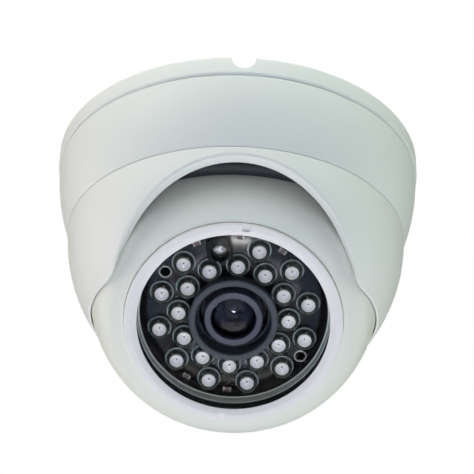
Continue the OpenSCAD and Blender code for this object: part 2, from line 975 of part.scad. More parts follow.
// Brass standoffs: a stud into the front shell's post, a body, and a bore for the rear screw
module standoffs() {
    color("goldenrod")
        aim()
            at_corners()
                difference() {
                    union() {
                        post(standoff_r, power_z, sensor_z - pcb_t);
                        post(stud_r, sensor_z - pcb_t - eps, sensor_z + 5);
                    }
                    post(stud_r + seat_gap / 2, power_z - eps, power_z + 5);
                }
}

module power_board_screws() {
    color(steel)
        aim()
            at_corners()
                translate([0, 0, power_z - pcb_t])
                    rotate([180, 0, 0])
                        screw(standoff_r, 1.2, stud_r, pcb_t + 4);
}

// Capacitors, coil and cable socket on the back of the power board
module power_board_parts() {
    back_z = power_z - pcb_t;
    color("dimgray")
        aim() {
            for (x = [-8, 0])
                translate([x, 8, 0])
                    post(cap_r, back_z - cap_h, back_z);
            translate([9, 7, 0])
                post(3.6, back_z - 4, back_z);
            translate([-7, -10, back_z - 6])
                cube([14, 5, 6]);
        }
}

// Pin header that joins the sensor board to the power board
module board_link() {
    color("black")
        aim()
            translate([-9, -14.5, power_z])
                cube([18, 2.5, standoff_l]);
}

// ---- Lens, which turns in its holder to focus ----

module lens_barrel() {
    color(rubber_black)
        aim()
            difference() {
                union() {
                    post(lens_head_r, lens_neck_z, lens_z);
                    post(lens_r, lens_low_z, lens_neck_z + eps);
                }
                post(glass_r + seat_gap / 2, lens_z - 2.4, lens_z + eps);
                post(3.2, lens_low_z - eps, lens_z);
                post(3.8 + seat_gap / 2, lens_low_z - eps, lens_low_z + 1.6);
            }
}

// Convex front lens
module front_glass() {
    bulge = 1.2;
    glass_low = lens_z - 2.4;
    bulge_r = (glass_r * glass_r + bulge * bulge) / (2 * bulge);
    color(clear_glass)
        aim()
            rotate_extrude()
                union() {
                    box2d(0, glass_low, glass_r, lens_z - 1.6);
                    intersection() {
                        translate([0, lens_z - 1.6 + bulge - bulge_r])
                            circle(r = bulge_r);
                        box2d(0, lens_z - 1.6 - eps, glass_r, lens_z);
                    }
                }
}

module rear_glass() {
    color(clear_glass)
        aim()
            post(3.8, lens_low_z, lens_low_z + 1.5);
}

// ---- One line per node ----

mounting_plate();
base_housing();
plate_screws();
friction_ring();
dome_cover();
cover_ring();
cover_ring_screws();
rear_shell();
cable_gland();
gland_nut();
cable_grommet();
front_shell();
shell_seal();
bezel_ring();
window();
window_seal();
light_board();
light_board_rivets();
light_board_chips();
sensor_hood();
light_sensor();
for (i = [1 : len(outer_angles)])
    lamp(outer_r, outer_angles[i - 1]);
for (i = [1 : len(inner_angles)])
    lamp(inner_r, inner_angles[i - 1]);
lens_shroud();
lens_holder();
image_sensor();
infrared_filter();
sensor_board();
standoffs();
power_board();
power_board_screws();
power_board_parts();
board_link();
lens_barrel();
front_glass();
rear_glass();
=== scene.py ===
"""Looks of the dome camera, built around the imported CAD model.

Lengths in the constants are in millimetres, and every mesh is in metres in the row frame.
The ball's pieces are built about the lens axis and then aimed, as in the CAD model.
"""
import json
import math

import bmesh
import bpy
from mathutils import Matrix, Vector


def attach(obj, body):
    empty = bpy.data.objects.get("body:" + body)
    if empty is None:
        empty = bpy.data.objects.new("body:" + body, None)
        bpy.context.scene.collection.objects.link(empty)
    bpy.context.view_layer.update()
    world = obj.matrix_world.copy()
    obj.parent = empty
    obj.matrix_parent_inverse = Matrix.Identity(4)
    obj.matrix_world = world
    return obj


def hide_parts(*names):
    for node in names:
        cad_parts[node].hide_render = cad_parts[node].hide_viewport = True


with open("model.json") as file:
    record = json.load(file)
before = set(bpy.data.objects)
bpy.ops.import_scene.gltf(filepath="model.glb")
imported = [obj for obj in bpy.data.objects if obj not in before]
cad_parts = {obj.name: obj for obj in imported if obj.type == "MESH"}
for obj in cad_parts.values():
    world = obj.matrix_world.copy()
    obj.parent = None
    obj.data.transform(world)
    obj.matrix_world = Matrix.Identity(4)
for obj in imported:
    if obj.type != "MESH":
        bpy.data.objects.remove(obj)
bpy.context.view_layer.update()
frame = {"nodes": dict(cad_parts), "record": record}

MM = 0.001

# ---- Sizes, as in the CAD model ----

BALL_R = 36.1
BALL_Z = -36.35
GRIP_R = BALL_R + 0.3
AIM = 35.2
SEAM_Z = -23.05
RIM_Z = -46.05
FLANGE_R = 46.5
PLATE_H = 5.0
PARTING = 0.35
SEAM_R = 43.0
BORE_R = 41.18
COLLAR_IN, COLLAR_OUT = 38.70, 41.10
POST_CIRCLE = 40.04
CABLE_HOLE_R = 26.8
CEILING_CIRCLE_R = 31.0
CEILING_HOLE_R = 2.25
PLATE_SKIN = 2.2
DECK_Z = -PLATE_H - 2
RIM_WALL = 2.6
SEAT_LOW = -20.5
SEAT_WALL = 2.6
PAD_LOW = BALL_Z + 10.35
PAD_WALL = 0.6
COLLAR_TOP = -20.95
COVER_R = 42.55
COVER_WALL = 3.0
COVER_RIM_R = 35.58
ARCH_R = 30.3
ARCH_Z = SEAM_Z - 2.5 - ARCH_R
ARCH_CORNER_R = 2.5
FACE_R = 26.4
FACE_HOLE_R = 26.15
FACE_Z = 19.97
BEZEL_Z = 20.87
BEZEL_IN_R = 23.0
WINDOW_TOP = 20.17
WINDOW_LOW = 18.97
LEDGE_Z = 17.07
BOARD_Z = 14.77
SHELF_Z = 13.57
BOARD_R = 22.6
BOARD_CLOCK = 11.9
BOARD_HOLE_R = 8.3
OUTER_R, INNER_R = 18.17, 13.24
LAMP_R = 2.5
LAMP_H = 4.0
LAMP_FOOT_R = 2.9
SENSOR_AT = (17.95, 90)
RIVET_CIRCLE_R = 19.7
RIVET_TURNS = (135, 315)
RIVET_HOLE_R = 1.5
HOOD_TOP = 18.77
HOOD_HALF = 2.9
HOOD_CORNER_R = 2.4
HOOD_IN, HOOD_OUT = 15.9, 22.1
LENS_Z = 17.67
LENS_IN_R = 5.35
LENS_TUBE_R = 6.0
LENS_HEAD_R = 7.1
LENS_HEAD_Z = 12.6
REAR_Z = -28.1
REAR_CHAMFER = 5.0
WALL = 2.5
SPLIT_Z = -1.0
SEAM_GAP = 0.1
SPIGOT_R = 33.2
SPIGOT_IN_R = 31.0
SPIGOT_LOW = -7.0
BEZEL_SKIRT_IN, BEZEL_SKIRT_OUT = 25.25, 26.05
SHOULDER_R = 8.7
GLAND_R = 5.0
GLAND_BORE_R = 3.95
GLAND_HEAD_R = 7.0
CABLE_R = 2.75
NUT_R = 7.6
NUT_H = 3.0

AIMED = Matrix.Translation((0, 0, BALL_Z * MM)) @ Matrix.Rotation(math.radians(180 - AIM), 4, "X")


# ---- Mesh helpers ----

def arc(cx, cy, radius, start, end, steps):
    """Points along an arc, in degrees."""
    angles = [start + (end - start) * i / steps for i in range(steps + 1)]
    return [(cx + radius * math.cos(math.radians(a)), cy + radius * math.sin(math.radians(a)))
            for a in angles]


def bore(radius, low, high):
    """Outline of a solid round plug, for cutting a hole."""
    return [(0, low), (radius, low), (radius, high), (0, high)]


def soften(corners, steps=5):
    """A closed outline whose corners (r, z, rounding) are turned into arcs."""
    outline = []
    count = len(corners)
    for i, corner in enumerate(corners):
        here = Vector(corner[:2])
        rounding = corner[2] if len(corner) > 2 else 0
        if not rounding:
            outline.append(tuple(here))
            continue
        before = Vector(corners[i - 1][:2]) - here
        after = Vector(corners[(i + 1) % count][:2]) - here
        half = before.angle(after) / 2
        reach = min(rounding / math.tan(half), before.length * 0.499, after.length * 0.499)
        rounding = reach * math.tan(half)
        first = here + before.normalized() * reach
        last = here + after.normalized() * reach
        bisector = (before.normalized() + after.normalized()).normalized()
        middle = here + bisector * (rounding / math.sin(half))
        a0 = math.atan2(*(first - middle).yx)
        a1 = math.atan2(*(last - middle).yx)
        turn = (a1 - a0 + math.pi) % (2 * math.pi) - math.pi
        for k in range(steps + 1):
            a = a0 + turn * k / steps
            outline.append((middle.x + rounding * math.cos(a), middle.y + rounding * math.sin(a)))
    return outline


def shade(mesh, angle=35):
    """Smooth shading with sharp edges above an angle."""
    for polygon in mesh.polygons:
        polygon.use_smooth = True
    mesh.set_sharp_from_angle(angle=math.radians(angle))


def add_piece(name, mesh, body, material, replaces=(), place=None):
    """A new object that rides on a body and stands for some CAD nodes."""
    if place is not None:
        mesh = mesh.copy()
        mesh.transform(place)
    piece = bpy.data.objects.new(name, mesh)
    bpy.context.scene.collection.objects.link(piece)
    if material is not None:
        piece.data.materials.clear()
        piece.data.materials.append(material)
    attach(piece, body)
    if replaces:
        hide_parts(*replaces)


def to_mesh(name, bm, angle=35):
    """A shaded mesh from a bmesh, which is used up."""
    bmesh.ops.recalc_face_normals(bm, faces=bm.faces)
    mesh = bpy.data.meshes.new(name)
    bm.to_mesh(mesh)
    bm.free()
    shade(mesh, angle)
    return mesh


def spin(bm, outline, segments=192, closed=True, move=None):
    """Adds an outline (r, z in mm) turned about Z to a bmesh."""
    move = move or Matrix.Identity(4)
    rings = []
    for r, z in outline:
        if r < 1e-6:
            rings.append([bm.verts.new(move @ Vector((0, 0, z * MM)))])
            continue
        ring = []
        for j in range(segments):
            a = 2 * math.pi * j / segments
            at = Vector((r * MM * math.cos(a), r * MM * math.sin(a), z * MM))
            ring.append(bm.verts.new(move @ at))
        rings.append(ring)
    pairs = list(zip(rings, rings[1:] + rings[:1])) if closed else list(zip(rings, rings[1:]))
    for low, high in pairs:
        for j in range(segments):
            k = (j + 1) % segments
            if len(low) == 1 and len(high) == 1:
                break
            if len(low) == 1:
                bm.faces.new((low[0], high[j], high[k]))
            elif len(high) == 1:
                bm.faces.new((low[j], high[0], low[k]))
            else:
                bm.faces.new((low[j], high[j], high[k], low[k]))


def lathe(name, outline, segments=192):
    """A closed outline (r, z in mm) turned into a mesh of its own."""
    bm = bmesh.new()
    spin(bm, outline, segments)
    return to_mesh(name, bm)


def add_box(bm, low, high, move=None):
    """Adds a box between two corners in mm."""
    move = move or Matrix.Identity(4)
    corners = [[(low, high)[(i >> k) & 1][k] for k in range(3)] for i in range(8)]
    v = [bm.verts.new(move @ (Vector(c) * MM)) for c in corners]
    for f in ((0, 2, 3, 1), (4, 5, 7, 6), (0, 1, 5, 4), (2, 6, 7, 3), (0, 4, 6, 2), (1, 3, 7, 5)):
        bm.faces.new([v[i] for i in f])


def prism(bm, outline, low, high, move=None):
    """Adds an outline (x, y in mm) raised from one height to another."""
    move = move or Matrix.Identity(4)
    floor = [bm.verts.new(move @ Vector((x * MM, y * MM, low * MM))) for x, y in outline]
    roof = [bm.verts.new(move @ Vector((x * MM, y * MM, high * MM))) for x, y in outline]
    bm.faces.new(floor[::-1])
    bm.faces.new(roof)
    for i in range(len(outline)):
        j = (i + 1) % len(outline)
        bm.faces.new((floor[i], floor[j], roof[j], roof[i]))


def carve(mesh, cutter_bm=None, bevel=0.0):
    """The mesh less the cutter, with its sharp edges bevelled (in mm)."""
    holder = bpy.data.objects.new("holder", mesh)
    bpy.context.scene.collection.objects.link(holder)
    spare = [holder]
    if cutter_bm is not None:
        cutter = bpy.data.objects.new("cutter", to_mesh("cutter", cutter_bm))
        bpy.context.scene.collection.objects.link(cutter)
        spare.append(cutter)
        boolean = holder.modifiers.new("cut", "BOOLEAN")
        boolean.operation = "DIFFERENCE"
        boolean.solver = "EXACT"
        boolean.object = cutter
    if bevel:
        edge = holder.modifiers.new("bevel", "BEVEL")
        edge.width = bevel * MM
        edge.segments = 3
        edge.limit_method = "ANGLE"
        edge.angle_limit = math.radians(40)
    bpy.context.view_layer.update()
    evaluated = holder.evaluated_get(bpy.context.evaluated_depsgraph_get())
    result = bpy.data.meshes.new_from_object(evaluated)
    for o in spare:
        bpy.data.objects.remove(o)
    shade(result)
    return result


# ---- Materials ----

def new_material(name, base, roughness, **sockets):
    """A plain material; sockets are set by name, with _ for a space."""
    material = bpy.data.materials.new(name)
    material.use_nodes = True
    shader = material.node_tree.nodes["Principled BSDF"]
    shader.inputs["Base Color"].default_value = (*base, 1)
    shader.inputs["Roughness"].default_value = roughness
    for socket, value in sockets.items():
        shader.inputs[socket.replace("_", " ")].default_value = value
    return material


def node(material, kind, **values):
    """A new shader node with its inputs or settings filled in."""
    made = material.node_tree.nodes.new(kind)
    for key, value in values.items():
        if key in made.inputs:
            made.inputs[key].default_value = value
        else:
            setattr(made, key, value)
    return made


def join(material, source, out, target, into):
    material.node_tree.links.new(source.outputs[out], target.inputs[into])


def textured(name, base, other, roughness, grain, spread=0.06, bump=0.02, depth=0.02, **sockets):
    """A moulded or painted surface: slow colour drift, uneven gloss, fine grain (depth in mm)."""
    material = new_material(name, base, roughness, **sockets)
    shader = material.node_tree.nodes["Principled BSDF"]
    coordinates = node(material, "ShaderNodeTexCoord")
    slow = node(material, "ShaderNodeTexNoise", Scale=38.0, Detail=3.0, Roughness=0.55)
    fine = node(material, "ShaderNodeTexNoise", Scale=grain, Detail=4.0, Roughness=0.6)
    join(material, coordinates, "Object", slow, "Vector")
    join(material, coordinates, "Object", fine, "Vector")
    colours = node(material, "ShaderNodeValToRGB")
    colours.color_ramp.elements[0].position = 0.35
    colours.color_ramp.elements[1].position = 0.65
    colours.color_ramp.elements[0].color = (*base, 1)
    colours.color_ramp.elements[1].color = (*other, 1)
    join(material, slow, "Fac", colours, "Fac")
    join(material, colours, "Color", shader, "Base Color")
    gloss = node(material, "ShaderNodeMapRange")
    gloss.inputs["From Min"].default_value = 0.3
    gloss.inputs["From Max"].default_value = 0.7
    gloss.inputs["To Min"].default_value = roughness - spread
    gloss.inputs["To Max"].default_value = roughness + spread
    join(material, fine, "Fac", gloss, "Value")
    join(material, gloss, "Result", shader, "Roughness")
    relief = node(material, "ShaderNodeBump")
    relief.inputs["Strength"].default_value = bump
    relief.inputs["Distance"].default_value = depth * MM
    join(material, fine, "Fac", relief, "Height")
    join(material, relief, "Normal", shader, "Normal")
    return material


def mix_shaders(tree, factor, first, second):
    """A node that blends two shaders, by a value or by a node's output."""
    mix = tree.nodes.new("ShaderNodeMixShader")
    if isinstance(factor, float):
        mix.inputs[0].default_value = factor
    else:
        tree.links.new(factor, mix.inputs[0])
    tree.links.new(first.outputs[0], mix.inputs[1])
    tree.links.new(second.outputs[0], mix.inputs[2])
    return mix


def clear_coat(name, tint, ior, roughness=0.02, share=1.0, painted_reflection=0.0, body=(0.5, 0.5, 0.5)):
    """A clear surface that passes light straight through and reflects a share of it.

    The last two arguments mix in a diffuse layer of the body colour, from 0 to 1: painted
    reflection and highlight.
    """
    material = bpy.data.materials.new(name)
    material.use_nodes = True
    tree = material.node_tree
    tree.nodes.remove(tree.nodes["Principled BSDF"])
    output = tree.nodes["Material Output"]
    through = node(material, "ShaderNodeBsdfTransparent")
    through.inputs["Color"].default_value = (*tint, 1)
    gloss = node(material, "ShaderNodeBsdfAnisotropic")
    gloss.inputs["Color"].default_value = (share, share, share, 1)
    fresnel = node(material, "ShaderNodeFresnel", IOR=ior)
    coordinates = node(material, "ShaderNodeTexCoord")
    dust = node(material, "ShaderNodeTexNoise", Scale=600.0, Detail=3.0)
    join(material, coordinates, "Object", dust, "Vector")
    film = node(material, "ShaderNodeMapRange")
    film.inputs["From Min"].default_value = 0.35
    film.inputs["From Max"].default_value = 0.75
    film.inputs["To Min"].default_value = roughness
    film.inputs["To Max"].default_value = roughness + 0.03
    join(material, dust, "Fac", film, "Value")
    join(material, film, "Result", gloss, "Roughness")
    inside = through
    # Painted reflection: a flat diffuse layer of the body colour mixed into the clear surface.
    if painted_reflection:
        reflection_layer = node(material, "ShaderNodeBsdfDiffuse")
        reflection_layer.inputs["Color"].default_value = (*body, 1)
        inside = mix_shaders(tree, painted_reflection, through, reflection_layer)
    mix = mix_shaders(tree, fresnel.outputs[0], inside, gloss)
    tree.links.new(mix.outputs[0], output.inputs["Surface"])
    return material


def moulded_white(name, base):
    """One of the camera's white mouldings, its base tuned to how light falls on that part (painted
    light and shade), with a barely lighter drift in its colour.
    """
    return textured(name, base, tuple(c * 1.02 for c in base), 0.5,
                    grain=1400.0, spread=0.05, bump=0.15, depth=0.01, Specular_IOR_Level=0.35)


# The four whites are one plastic, each lightened, darkened or tinted to how bright its part looks
# under the lights: painted light and shade in their base colours.
white = moulded_white("white_base", (0.75, 0.757, 0.728))
cover_white = moulded_white("white_cover", (0.765, 0.762, 0.735))
ball_white = moulded_white("white_ball", (0.76, 0.757, 0.695))
bezel_white = moulded_white("white_bezel", (0.82, 0.775, 0.77))
rubber = textured("black_rubber", (0.012, 0.013, 0.016), (0.02, 0.021, 0.024), 0.62,
                  grain=2200.0, spread=0.08, bump=0.3, depth=0.03)
# The shroud's rubber is lighter and bluer than the other black rubber: a painted blue-grey sheen
# from the light above.
shroud_rubber_sheen = textured("shroud_rubber_sheen", (0.036, 0.042, 0.055), (0.05, 0.058, 0.073), 0.6,
                         grain=2200.0, spread=0.08, bump=0.3, depth=0.03)
black = textured("black_plastic", (0.003, 0.003, 0.003), (0.005, 0.004, 0.004), 0.45,
                 grain=1800.0, spread=0.06, bump=0.2, depth=0.02, Specular_IOR_Level=0.12)
# The barrel's blue is partly its own tint and partly a painted blue-violet reflection.
anodised = textured("black_anodised", (0.026, 0.028, 0.058), (0.036, 0.039, 0.075), 0.4,
                    grain=2600.0, spread=0.06, bump=0.15, depth=0.02)
inner_black = textured("lens_inside", (0.006, 0.006, 0.009), (0.01, 0.01, 0.013), 0.6,
                       grain=2600.0, spread=0.06, bump=0.15, depth=0.02, Specular_IOR_Level=0.2)
mask = textured("black_solder_mask", (0.003, 0.002, 0.002), (0.006, 0.004, 0.004), 0.15,
                grain=1100.0, spread=0.04, bump=0.12, depth=0.02, Specular_IOR_Level=0.25)
green = textured("green_solder_mask", (0.01, 0.11, 0.05), (0.02, 0.16, 0.07), 0.3,
                 grain=1100.0, spread=0.08, bump=0.3, depth=0.03)
tin = textured("tinned_metal", (0.3, 0.3, 0.28), (0.2, 0.2, 0.18), 0.3,
               grain=1500.0, spread=0.08, bump=0.2, depth=0.02, Metallic=1.0)
steel = textured("screw_steel", (0.55, 0.56, 0.57), (0.45, 0.46, 0.48), 0.32,
                 grain=1700.0, spread=0.08, bump=0.2, depth=0.02, Metallic=1.0)
brass = textured("brass", (0.72, 0.53, 0.24), (0.62, 0.45, 0.2), 0.3,
                 grain=1700.0, spread=0.08, bump=0.2, depth=0.02, Metallic=1.0)
chip = textured("chip_plastic", (0.05, 0.02, 0.02), (0.09, 0.04, 0.035), 0.4,
                grain=1900.0, spread=0.08, bump=0.2, depth=0.02)
cup = textured("lamp_reflector", (0.98, 0.95, 0.96), (0.84, 0.78, 0.8), 0.25,
               grain=3500.0, spread=0.1, bump=0.5, depth=0.05)
die = textured("lamp_die", (0.16, 0.08, 0.09), (0.1, 0.05, 0.06), 0.4,
               grain=3000.0, spread=0.05, bump=0.2, depth=0.02)
window_clear = clear_coat("window_clear", (0.99, 0.993, 0.994), 1.09, share=0.6)
# The lamp domes carry a grey-green painted reflection in a diffuse layer.
lamp_clear = clear_coat("lamp_epoxy", (1.0, 0.99, 0.975), 1.5, painted_reflection=0.08, body=(0.42, 0.5, 0.44))
# The lamp feet's pale layer is a painted highlight for their lit rim edges.
lamp_flange = clear_coat("lamp_flange", (0.95, 0.97, 0.96), 1.5, painted_reflection=0.35, body=(0.6, 0.68, 0.68))
lens_clear = clear_coat("lens_coating", (0.45, 0.4, 0.6), 1.4, roughness=0.01, share=0.45)
filter_clear = clear_coat("filter_coating", (0.5, 0.8, 0.85), 1.5)
sensor_mat = textured("sensor_resin", (0.05, 0.065, 0.045), (0.11, 0.13, 0.09), 0.15,
                      grain=900.0, spread=0.03, bump=0.1, depth=0.02)

BY_SLOT = {
    "white_shell": white, "black_rubber": rubber, "black_plastic": black, "screw_steel": steel,
    "brass": brass, "black_board": mask, "green_board": green, "chips": chip,
    "clear_lamp": lamp_clear, "clear_window": window_clear, "lens_glass": lens_clear,
    "filter_glass": filter_clear, "sensor_face": sensor_mat, "black_barrel": anodised,
}
for subpart in frame["record"]["subparts"]:
    cad = frame["nodes"][subpart["node"]]
    cad.data.materials.clear()
    cad.data.materials.append(BY_SLOT[subpart["material_slot"]])

# ---- Base: mounting plate, housing, friction ring ----

CEILING_SCREWS = [10 + 120 * i for i in range(3)]
PLATE_SCREWS = [-20 + 120 * i for i in range(3)]


def polar(radius, degrees):
    """A shift to a point on a circle about Z (radius in mm)."""
    a = math.radians(degrees)
    return Matrix.Translation((radius * MM * math.cos(a), radius * MM * math.sin(a), 0))


def plate():
    outline = soften([
        (CABLE_HOLE_R, 0, 0.3), (FLANGE_R, 0, 0.7), (FLANGE_R, -PLATE_H + PARTING, 0.12),
        (FLANGE_R - PARTING, -PLATE_H, 0.1), (FLANGE_R - RIM_WALL, -PLATE_H, 0.1),
        (FLANGE_R - RIM_WALL, -PLATE_SKIN, 0), (CABLE_HOLE_R, -PLATE_SKIN, 0.3)])
    mesh = lathe("plate", outline, segments=256)
    cutter = bmesh.new()
    notch = arc(0, -0.55, 2.85, 180, 360, 20) + [(2.85, 2), (-2.85, 2)]
    along = Matrix.Rotation(math.radians(0.9), 4, "Z") @ Matrix.Rotation(math.radians(90), 4, "X")
    prism(cutter, notch, CABLE_HOLE_R - 4, FLANGE_R + 4, along)
    spin(cutter, bore(4.2, -9, 3), 48, move=Matrix.Translation((0, (CABLE_HOLE_R + 0.4) * MM, 0)))
    mesh = carve(mesh, cutter, bevel=0.3)
    cutter = bmesh.new()
    for a in CEILING_SCREWS:
        spin(cutter, bore(CEILING_HOLE_R, -9, 3), 40, move=polar(CEILING_CIRCLE_R, a))
    for a in PLATE_SCREWS:
        spin(cutter, [(0, -9), (1.2, -9), (1.2, -1.4), (2.4, -1.4), (2.4, 3), (0, 3)], 40,
             move=polar(POST_CIRCLE, a))
    return carve(mesh, cutter, bevel=0.12)


SEAT_IN = math.sqrt(GRIP_R ** 2 - (PAD_LOW - BALL_Z) ** 2)
SEAT_OUT = SEAT_IN + SEAT_WALL
SIDE_H = -PLATE_H - SEAM_Z
SIDE_D = FLANGE_R - SEAM_R
SIDE_ARC = (SIDE_H ** 2 + SIDE_D ** 2) / (2 * SIDE_D)


def housing():
    cavity = BORE_R + 1.4
    top_r = FLANGE_R - PARTING
    low_angle = -math.degrees(math.asin(SIDE_H / SIDE_ARC))
    side = arc(top_r - SIDE_ARC, -PLATE_H, SIDE_ARC, -0.6, low_angle + 0.5, 30)
    low_r = top_r - SIDE_ARC + SIDE_ARC * math.cos(math.radians(low_angle))
    corners = [(CABLE_HOLE_R, DECK_Z, 0.2), (CABLE_HOLE_R, -PLATE_H, 0.2), (top_r - 0.25, -PLATE_H)]
    corners += side
    corners += [(low_r, SEAM_Z, 0.4), (BORE_R, SEAM_Z, 0.2), (BORE_R, SEAM_Z + 1.8),
                (cavity, SEAM_Z + 1.8), (cavity, DECK_Z), (SEAT_OUT, DECK_Z),
                (SEAT_OUT, SEAT_LOW), (SEAT_IN, SEAT_LOW), (SEAT_IN, DECK_Z)]
    mesh = lathe("housing", soften(corners), segments=256)
    cutter = bmesh.new()
    for a in CEILING_SCREWS:
        spin(cutter, bore(CEILING_HOLE_R, -9, -4), 40, move=polar(CEILING_CIRCLE_R, a))
    return carve(mesh, cutter)


def pad():
    low = PAD_LOW
    out = SEAT_OUT + PAD_WALL
    inner = [(math.sqrt(GRIP_R ** 2 - (z - BALL_Z) ** 2), z)
             for z in (low + 1.2, low + 2.5, low + 4, low + 5.5)]
    corners = [(SEAT_OUT, low + 5.5), (SEAT_OUT, low + 8.5, 0.1), (out, low + 8.5, 0.2),
               (out, low, 1.6), (SEAT_IN, low, 0.5)]
    return lathe("pad", soften(corners + inner, 8))


add_piece("base_plate", plate(), "base", white, ["mounting_plate"])
add_piece("base_side", housing(), "base", white, ["base_housing"])
add_piece("grip_ring", pad(), "base", rubber, ["friction_ring"])


# ---- Cover with the arched front ----

COVER_H = SEAM_Z - RIM_Z
COVER_CX = (COVER_R + COVER_RIM_R) / 2 - COVER_H ** 2 / (2 * (COVER_R - COVER_RIM_R))
COVER_ARC = COVER_R - COVER_CX


def cover_out(z):
    """Outer radius of the cover's shell at a height."""
    return COVER_CX + math.sqrt(COVER_ARC ** 2 - (z - SEAM_Z) ** 2)


def cover_in(z):
    """Inner radius of the cover's shell, kept clear of the ball."""
    wall = COVER_CX + math.sqrt(max(0.0, (COVER_ARC - COVER_WALL) ** 2 - (z - SEAM_Z) ** 2))
    ball = math.sqrt(max(0.0, GRIP_R ** 2 - (z - BALL_Z) ** 2))
    return max(wall, ball)


def cover_edge(count):
    """Half of the cover's lower edge, from the top of the arch round to the back.

    Each point is (turn, z, weight, share of the way). The weight is 1 where the arch
    cuts straight through the wall.
    """
    far = ARCH_R + ARCH_CORNER_R
    rise = RIM_Z + ARCH_CORNER_R - ARCH_Z
    corner_x = math.sqrt(far ** 2 - rise ** 2)
    lean = math.degrees(math.atan2(rise, corner_x))
    line = arc(0, ARCH_Z, ARCH_R, 90, lean, 200)
    line += arc(corner_x, RIM_Z + ARCH_CORNER_R, ARCH_CORNER_R, 180 + lean, 270, 40)[1:]
    dense = [(math.asin(min(1, x / cover_out(z))), z, 1.0) for x, z in line]
    start = dense[-1][0]
    for i in range(1, 241):
        t = start + (math.pi - start) * i / 240
        fade = max(0.0, 1 - (t - start) / math.radians(10))
        dense.append((t, RIM_Z, fade * fade * (3 - 2 * fade)))
    length = [0.0]
    for (t0, z0, _), (t1, z1, _) in zip(dense, dense[1:]):
        step = math.hypot((t1 - t0) * cover_out((z0 + z1) / 2), z1 - z0)
        length.append(length[-1] + step)
    out = []
    k = 0
    for i in range(count + 1):
        want = length[-1] * i / count
        while k < len(length) - 2 and length[k + 1] < want:
            k += 1
        f = (want - length[k]) / max(1e-9, length[k + 1] - length[k])
        f = min(1.0, max(0.0, f))
        out.append(tuple(a + (b - a) * f for a, b in zip(dense[k], dense[k + 1])) + (i / count,))
    return out


def turned_point(turn, r, z):
    """Point at a turn from the front, which is -Y, towards +X."""
    return Vector((r * math.sin(turn), -r * math.cos(turn), z))


def cover():
    count = 210
    half = cover_edge(count)
    edge = half[:-1] + [(2 * math.pi - t, z, w, 2 - f) for t, z, w, f in half[:0:-1]]
    total = len(edge)
    borders = [turned_point(turn, cover_out(z), z) for turn, z, *_ in edge]
    columns = []
    gap_z = SEAM_Z - SEAM_GAP
    root_z = SEAM_Z - 1.6
    rows_out, rows_in = 22, 10
    for i, (turn, z, weight, share) in enumerate(edge):
        border = borders[i]
        tangent = (borders[(i + 1) % total] - borders[i - 1]).normalized()
        spoke = Vector((border.x, border.y, 0)).normalized()
        slope = (cover_out(z + 0.05) - cover_out(z - 0.05)) / 0.1
        normal = (spoke - Vector((0, 0, slope))).normalized()
        upward = normal.cross(tangent).normalized()
        if upward.z < 0:
            upward = -upward
        thick = cover_out(z) - cover_in(z)
        turn_in = turn
        if weight > 0:
            straight = math.asin(max(-1, min(1, border.x / cover_in(z))))
            if turn > math.pi:
                straight = 2 * math.pi - abs(straight)
            turn_in += (straight - turn) * weight
        inner = turned_point(turn_in, cover_in(z), z)
        wall = inner - border
        rounding = min(0.85, thick * 0.42)
        above = border + upward * rounding
        turn_a = math.atan2(above.x, -above.y) % (2 * math.pi)
        if i == 0:
            turn_a = 0.0
        above = turned_point(turn_a, cover_out(above.z), above.z)
        inward = border + wall.normalized() * rounding
        seam_turn = turn + (share * math.pi - turn) * 0.8
        if turn_a - seam_turn > math.pi:
            turn_a -= 2 * math.pi
        if seam_turn - turn_a > math.pi:
            turn_a += 2 * math.pi
        points = []
        top_r = cover_out(gap_z)
        points += [turned_point(seam_turn, r, zz) for r, zz in
                   ((COLLAR_OUT, gap_z), (top_r - 0.2, gap_z), (top_r - 0.1, gap_z - 0.03),
                    (top_r - 0.02, gap_z - 0.1))]
        start_z = gap_z - 0.2
        for k in range(rows_out + 1):
            u = k / rows_out
            zz = start_z + (above.z - start_z) * u
            tt = seam_turn + (turn_a - seam_turn) * u
            points.append(turned_point(tt, cover_out(zz), zz))
        for k in range(1, 8):
            u = k / 7
            points.append(above * (1 - u) ** 2 + border * 2 * u * (1 - u) + inward * u * u)
        back = min(0.25, thick * 0.3)
        near = inner - wall.normalized() * back
        for k in range(1, 4):
            points.append(inward.lerp(near, k / 3))
        up_z = z + back
        up = turned_point(turn_in, cover_in(up_z), up_z)
        for k in range(1, 4):
            u = k / 3
            points.append(near * (1 - u) ** 2 + inner * 2 * u * (1 - u) + up * u * u)
        for k in range(1, rows_in + 1):
            u = k / rows_in
            zz = up_z + (root_z - up_z) * u
            tt = turn_in + (seam_turn - turn_in) * u
            points.append(turned_point(tt, cover_in(zz), zz))
        points += [turned_point(seam_turn, r, zz) for r, zz in
                   ((COLLAR_IN, root_z), (COLLAR_IN, COLLAR_TOP), (COLLAR_OUT, COLLAR_TOP))]
        columns.append(points)
    bm = bmesh.new()
    grid = [[bm.verts.new(p * MM) for p in column] for column in columns]
    height = len(grid[0])
    for i in range(total):
        a, b = grid[i], grid[(i + 1) % total]
        for k in range(height):
            m = (k + 1) % height
            bm.faces.new((a[k], a[m], b[m], b[k]))
    return to_mesh("cover", bm, 40)


add_piece("cover_shell", cover(), "cover", cover_white, ["dome_cover"])


# ---- Ball: rear shell with the cable gland ----

def in_ball(name, mesh, material, replaces=(), at=None, body="ball_front"):
    """A piece built about the lens axis, then aimed with the ball."""
    add_piece(name, mesh, body, material, replaces, AIMED @ at if at is not None else AIMED)


